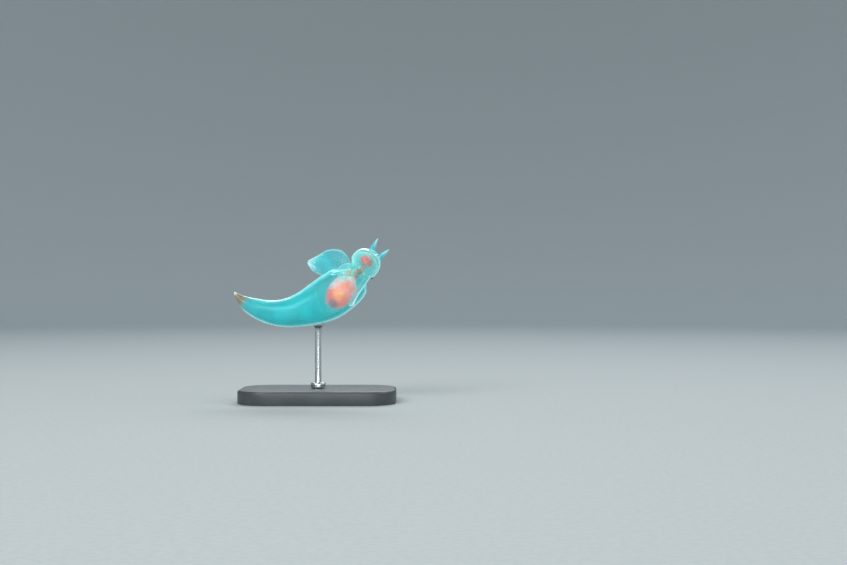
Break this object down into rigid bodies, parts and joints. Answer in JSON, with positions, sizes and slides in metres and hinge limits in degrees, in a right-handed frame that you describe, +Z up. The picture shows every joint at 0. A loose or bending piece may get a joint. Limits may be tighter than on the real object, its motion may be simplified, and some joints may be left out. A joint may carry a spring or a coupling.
{
  "type": "sea angel",
  "caption": "Life-size sea angel in a banking swim: bent spindle body, round head with horn-like tentacles, leaf-like wings, foot lobes, held by a rod on a flat base.",
  "frame": {"origin": "middle of the underside of the stand's base, on the surface it rests on", "axes": "+Z up; the body's midline lies in the XZ plane with the head up toward +X and the tail at -X; the belly is rolled halfway from -Y toward the upper side"},
  "size_m": [0.0479, 0.03, 0.0486],
  "materials": {
    "clear_flesh": "clear, wet, pale aqua",
    "tail_pigment": "orange-brown pigment in clear flesh",
    "eye_pigment": "dark, wet",
    "stand_plate": "satin charcoal paint",
    "stand_steel": "finely brushed"
  },
  "bodies": {
    "root": {"tail_tip": "tail_pigment", "tail": "clear_flesh", "trunk_rear": "clear_flesh", "trunk_middle": "clear_flesh", "trunk_front": "clear_flesh", "neck": "clear_flesh", "head": "clear_flesh", "tentacle_front_right": "clear_flesh", "tentacle_front_left": "clear_flesh", "tentacle_rear_right": "clear_flesh", "tentacle_rear_left": "clear_flesh", "eye_right": "eye_pigment", "eye_left": "eye_pigment", "wing_right": "clear_flesh", "wing_left": "clear_flesh", "foot_lobe_right": "clear_flesh", "foot_lobe_left": "clear_flesh", "foot_lobe_middle": "clear_flesh", "stand_base": "stand_plate", "stand_rod": "stand_steel"}
  },
  "joints": []
}
